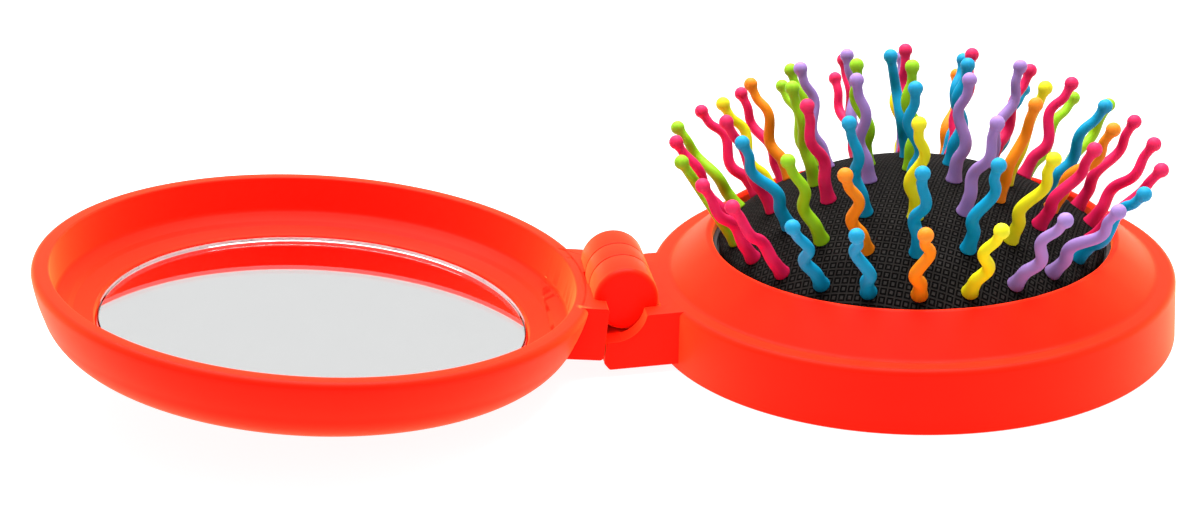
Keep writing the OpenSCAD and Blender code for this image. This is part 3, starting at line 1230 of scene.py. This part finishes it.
@dataclass
class PinField:
    """The wavy pins, in five rings on the dome.

    The patterns have a letter for each pin of each ring: its colour, the way that its wave faces, counted
    from a, and how far it leans outwards and aside, counted both ways from h. The colours were read from the
    photograph, and five hidden pins' are guessed. The turns and the leans were worked out by scratch programs
    that fitted the pins to the photograph.
    """

    pad: PopUpPad
    layout: Layout
    ring_colours: tuple[str, ...] = (
        "L", "BBLVBV", "VRRVVLRBYVOY", "RRBVRLOYRBLOBBYROB", "LLBOYRLRRLRLRRBBOYVVBRRR")
    ring_turns: tuple[str, ...] = (
        "a", "aiinea", "idjfdnjlmimm", "oapaabacdgmmkmlljb", "jalhnjbicgoekkmdnedkolfj")
    ring_leans_out: tuple[str, ...] = (
        "h", "fffgfg", "ihghhefhfihh", "ighhdfhighhigfhjji", "hlmhhiiehieefhiihhhjihec")
    ring_leans_aside: tuple[str, ...] = (
        "h", "emjghh", "ighggjihhjif", "gdhhiigghghghjhedd", "hgfhhjjkjgiijhjihiihddcc")
    facing_step: float = 22.5
    lean_step: float = 2.0
    ring_step: float = 9.2
    ring_start: float = 17.0
    length: float = 13.8
    stem_r: float = 0.84
    shaft_r: float = 0.62
    ball_r: float = 0.95
    root_r: float = 1.05
    head_r: float = 1.15
    head_t: float = 0.5
    head_edge: float = 0.15
    foot_h: float = 0.24
    bell_l: float = 1.5
    bell_bend: float = 1.8
    shaft_start: float = 2.1
    shaft_short: float = 1.35
    ball_start: float = 48.0
    wave_reach: float = 0.88
    wave_start: float = 3.1
    wave_l: float = 8.4
    wave_blur: float = 1.0
    sides: int = 16
    shut_top: float = 14.5
    shut_lean: Point = (0.09, 0.689)

    def wave_at(self, s: float) -> float:
        """Give how far a pin's middle line stands aside.

        Args:
            s: The distance along the pin from the rubber.

        Returns:
            The sideways place, in millimetres.
        """
        def sharp(at: float) -> float:
            """Give one full wave that starts and ends abruptly."""
            share = (at - self.wave_start) / self.wave_l
            return math.sin(math.tau * share) if 0 < share < 1 else 0.0

        steps = [k / 6 for k in range(-5, 6)]
        weights = [math.cos(math.pi * k / 2) ** 2 for k in steps]
        blurred = sum(w * sharp(s + k * self.wave_blur) for w, k in zip(weights, steps))
        return self.wave_reach * blurred / sum(weights)

    def sections(self) -> list[Point]:
        """Give a pin's cross-sections.

        Returns:
            Each one's distance along the pin and its radius, from the head under the rubber to the ball.
        """
        under = -self.pad.rubber_t
        head = [(under - self.head_t, 0.0), (under - self.head_t, self.head_r - self.head_edge),
                (under - self.head_t + self.head_edge, self.head_r), (under - HAIR, self.head_r),
                (under, self.root_r * 0.75)]
        foot = [(-0.08, self.root_r * 0.8), (0.02, self.root_r), (0.12, self.root_r + 0.03),
                (self.foot_h, self.root_r)]
        bell = [(self.foot_h + self.bell_l * t,
                 self.stem_r + (self.root_r - self.stem_r) * (1 - t) ** self.bell_bend)
                for t in (0.15, 0.3, 0.45, 0.6, 0.75, 0.9, 1.0)]
        start, end = self.shaft_start, self.length - self.shaft_short
        shaft = [(start + (end - start) * i / 26, self.stem_r + (self.shaft_r - self.stem_r) * i / 26)
                 for i in range(27)]
        neck = [(self.length - 0.98, self.shaft_r), (self.length - 0.84, self.shaft_r + 0.06)]
        ball = [(self.length - self.ball_r * math.cos(a), self.ball_r * math.sin(a))
                for a in (math.radians(self.ball_start + (180 - self.ball_start) * i / 9) for i in range(10))]
        return head + foot + bell + shaft + neck + ball

    def pin(self, place: Matrix) -> tuple[Form, list[float]]:
        """Sweep one pin along its wave.

        Args:
            place: The frame at its root, with Z along the pin and X the way that the wave faces.

        Returns:
            The pin's form and each point's height, from 0 at the rubber to 1 at the tip.
        """
        form, heights = Form(), []
        rings: list[list[int]] = []
        for s, radius in self.sections():
            slope = 0.0
            if 0 < s < self.length - 1:
                slope = (self.wave_at(s + 0.05) - self.wave_at(s - 0.05)) / 0.1
            across = Vector((1, 0, -slope)).normalized()
            middle = Vector((self.wave_at(s), 0, s))
            start = len(form.points)
            count = 1 if radius < 1e-4 else self.sides
            for i in range(count):
                a = math.tau * i / self.sides
                around = across * math.cos(a) + Vector((0, math.sin(a), 0))
                form.points.append(place @ (middle + around * (radius if count > 1 else 0)))
                heights.append(max(0.0, s / self.length))
            rings.append([start] * self.sides if count == 1 else list(range(start, start + self.sides)))
        for low, high in zip(rings, rings[1:]):
            for i in range(self.sides):
                j = (i + 1) % self.sides
                corners = list(dict.fromkeys((low[i], low[j], high[j], high[i])))
                if len(corners) > 2:
                    form.faces.append(tuple(corners))
        return form, heights

    def lean_of(self, letter: str) -> float:
        """Turn a letter of a lean pattern into an angle, in radians, from h for none."""
        return math.radians((ord(letter) - ord("h")) * self.lean_step)

    def place_of(self, ring: int, index: int) -> Matrix:
        """Give the frame at a pin's root, with X the way that its wave faces.

        Args:
            ring: The pin's ring, from 0 in the middle.
            index: Its number in the ring.

        Returns:
            The frame, in millimetres.
        """
        around = self.ring_start + 360 * index / len(self.ring_colours[ring])
        facing = (ord(self.ring_turns[ring][index]) - ord("a")) * self.facing_step
        out = self.lean_of(self.ring_leans_out[ring][index])
        aside = self.lean_of(self.ring_leans_aside[ring][index])
        return (self.layout.base() @ Matrix.Translation((0, 0, self.pad.centre_z))
                @ Matrix.Rotation(math.radians(around), 4, "Z")
                @ Matrix.Rotation(math.radians(self.ring_step * ring), 4, "Y")
                @ Matrix.Translation((0, 0, self.pad.dome_r))
                @ Matrix.Rotation(out, 4, "Y") @ Matrix.Rotation(-aside, 4, "X")
                @ Matrix.Rotation(math.radians(facing), 4, "Z"))

    def group(self, name: str, ring: int, indices: Sequence[int]) -> bpy.types.Object:
        """Make one piece of some pins of a ring.

        Args:
            name: The piece's name.
            ring: The ring.
            indices: The pins' numbers in it.

        Returns:
            The piece, smooth and with its heights.
        """
        form, heights = Form(), []
        for index in indices:
            one, high = self.pin(self.place_of(ring, index))
            form.add(one)
            heights += high
        piece = form.piece(name)
        store = piece.data.attributes.new("height", "FLOAT", "POINT")
        store.data.foreach_set("value", heights)
        piece.data.shade_smooth()
        piece.data.set_sharp_from_angle(angle=math.radians(50))
        return piece

    def build(self, materials: Mapping[str, bpy.types.Material]) -> None:
        """Make all the pins.

        Args:
            materials: The pins' materials, by their colours' letters.
        """
        names = {t.value.letter: t.value.name for t in PinTint}
        for ring, colours in enumerate(self.ring_colours):
            for letter in dict.fromkeys(colours):
                indices = [i for i, c in enumerate(colours) if c == letter]
                node = "pin_centre_lime" if ring == 0 else f"pins_{ring}_{names[letter]}"
                if ring < 4:
                    piece = self.group(f"wavy_{node}", ring, indices)
                    fit(piece, Body.PAD, materials[letter], [node])
                    self._fold_down(piece, ring, indices)
                    continue
                for index in indices:
                    piece = self.group(f"wavy_pin_4_{index:02d}_{names[letter]}", ring, [index])
                    fit(piece, Body.PAD, materials[letter], [node])
                    self._fold_in(piece, index)

    def _fold_down(self, piece: bpy.types.Object, ring: int, indices: Sequence[int]) -> None:
        """Work out where some pins of an inner ring would sink to, the highest just under the shut mirror.

        Args:
            piece: The pins' piece.
            ring: Their ring.
            indices: Their numbers in it.
        """
        root = self.pad.centre_z + self.pad.dome_r * math.cos(math.radians(self.ring_step * ring))
        balls = [(self.place_of(ring, index) @ Vector((0, 0, self.length))).z for index in indices]
        tip = max(balls) + self.ball_r - self.layout.hinge_h
        sunk = self.pad.edge_z + (root - self.pad.edge_z) * self.pad.flat_keep
        keep = (self.shut_top - sunk) / (tip - root)
        anchor = (sunk - keep * root) / (1 - keep)
        (anchor + self.layout.hinge_h) * MM
        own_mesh(piece)

    def _fold_in(self, piece: bpy.types.Object, index: int) -> None:
        """Work out where a pin of the outer ring stands and how far it leans, and give its piece its own mesh.

        Args:
            piece: The pin's piece.
            index: Its number in the ring.
        """
        around = math.radians(self.ring_start + 360 * index / len(self.ring_colours[4]))
        lean = math.radians(self.ring_step * 4)
        out = Vector((math.cos(around), math.sin(around), 0))
        root = out * self.pad.dome_r * math.sin(lean)
        root.z = self.pad.centre_z + self.pad.dome_r * math.cos(lean)
        stands = lean + min(0.0, self.lean_of(self.ring_leans_out[4][index]))
        anchor = (self.layout.base() @ root) * MM
        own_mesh(piece)


# ---- The studio ----


@dataclass(frozen=True)
class Softbox:
    """A round soft light: its name, where it hangs and points to, and its width, in metres, and its watts."""

    name: str
    place: tuple[float, float, float]
    aim: tuple[float, float, float]
    size: float
    power: float

    def hang(self) -> None:
        """Put the light in the scene."""
        data = bpy.data.lights.new(self.name, "AREA")
        data.shape, data.size, data.energy = "DISK", self.size, self.power
        lamp = bpy.data.objects.new(self.name, data)
        bpy.context.scene.collection.objects.link(lamp)
        lamp.location = self.place
        lamp.rotation_mode = "QUATERNION"
        lamp.rotation_quaternion = (Vector(self.aim) - Vector(self.place)).to_track_quat("-Z", "Y")


@dataclass
class Studio:
    """The pale light table, the soft lights and the camera at the photograph's place.

    The camera's places are in millimetres from the middle of the hinge's axis, as fitted to the photograph.
    """

    layout: Layout
    eye: tuple[float, float, float] = (-27.581, -224.231, 95.826)
    target: tuple[float, float, float] = (-2.344, 0.0, 3.094)
    roll: float = -2.6303
    lens: float = 56.56
    sensor: float = 36.0
    back_level: float = 0.84
    front_level: float = 0.28
    top_level: float = 0.6
    floor_glow: float = 0.92
    floor_r: float = 1500.0
    lamps: tuple[Softbox, ...] = (
        Softbox("softbox_top", (0.02, 0.18, 0.8), (0, 0, 0), 0.9, 24.0),
        Softbox("softbox_left", (-0.7, -0.5, 0.35), (0, 0, 0.01), 0.4, 0.8),
        Softbox("softbox_right", (0.75, -0.4, 0.35), (0.03, 0, 0.01), 0.4, 0.8))

    def camera(self) -> None:
        """Make the camera."""
        data = bpy.data.cameras.new("photo_camera")
        data.lens, data.sensor_width, data.sensor_fit = self.lens, self.sensor, "HORIZONTAL"
        data.clip_start, data.clip_end = 0.01, 20
        camera = bpy.data.objects.new("photo_camera", data)
        bpy.context.scene.collection.objects.link(camera)
        eye, target = self.layout.hinge() @ Vector(self.eye), self.layout.hinge() @ Vector(self.target)
        ahead = (target - eye).normalized()
        right = ahead.cross(Vector((0, 0, 1))).normalized()
        up = right.cross(ahead)
        turn = math.radians(self.roll)
        across = right * math.cos(turn) + up * math.sin(turn)
        over = up * math.cos(turn) - right * math.sin(turn)
        place = Matrix((across, over, -ahead)).transposed().to_4x4()
        place.translation = eye * MM
        camera.matrix_world = place
        bpy.context.scene.camera = camera

    def floor(self) -> None:
        """Make the pale floor, a light table that leaves next to no shadow."""
        low, top = -0.4, -HAIR
        profile = [(0, low), (self.floor_r, low), (self.floor_r, top), (0, top)]
        floor = lathe(profile, 96).piece("studio_floor")
        b = Bench.material("studio_floor_paper")
        tone = b.noise(b.where(), 0.004, 2)
        floor.data.materials.append(b.close(
            Base_Color=b.blend(tone, (0.29, 0.29, 0.29), (0.31, 0.31, 0.31)),
            Roughness=0.9,
            Specular_IOR_Level=0.1,
            Emission_Color=(1.0, 1.0, 1.0),
            Emission_Strength=self.floor_glow))

    def room(self) -> None:
        """Surround the set with a room that is bright behind, mild above and dim in front."""
        b = Bench(bpy.data.worlds.new("studio_room"))
        split = b.node("SeparateXYZ", {}, {0: b.node("TexCoord", {}, {}, "Generated")}, "Y")
        behind = b.ramp(split, -0.2, 0.6)
        above = b.ramp(split.out("Z"), 0.6, 0.9)
        level = self.front_level + (self.back_level - self.front_level) * behind
        b.glow(level * (1 - above) + self.top_level * above)
        bpy.context.scene.world = b.owner

    def build(self) -> None:
        """Set up the whole studio."""
        self.camera()
        self.floor()
        self.room()
        for lamp in self.lamps:
            lamp.hang()
        bpy.context.scene.view_settings.view_transform = "Standard"


def main() -> None:
    """Build the brush and its studio."""
    logging.basicConfig(level=logging.INFO, format="%(name)s: %(message)s")
    layout, hinge = Layout(), Hinge()
    red, black = RedPlastic().material(), BlackPlastic().material()
    base = BaseHalf(layout, hinge, red)
    base.case()
    base.cover()
    lid = LidHalf(layout, hinge, red, MirrorGlass().material(), GroundEdge().material(),
                  MirrorSilver().material(), FoamTape().material(), DrawnSteel().material())
    lid.dish()
    lid.glass()
    lid.pin()
    lid.tape()
    pad = PopUpPad(layout, ReliefRubber().material(), black)
    pad.cushion()
    pad.carrier()
    pad.clamp()
    nylons = {t.value.letter: PinNylon(t.value.name, t.value.albedo()).material() for t in PinTint}
    PinField(pad, layout).build(nylons)
    Studio(layout).build()


if __name__ == "__main__":
    main()
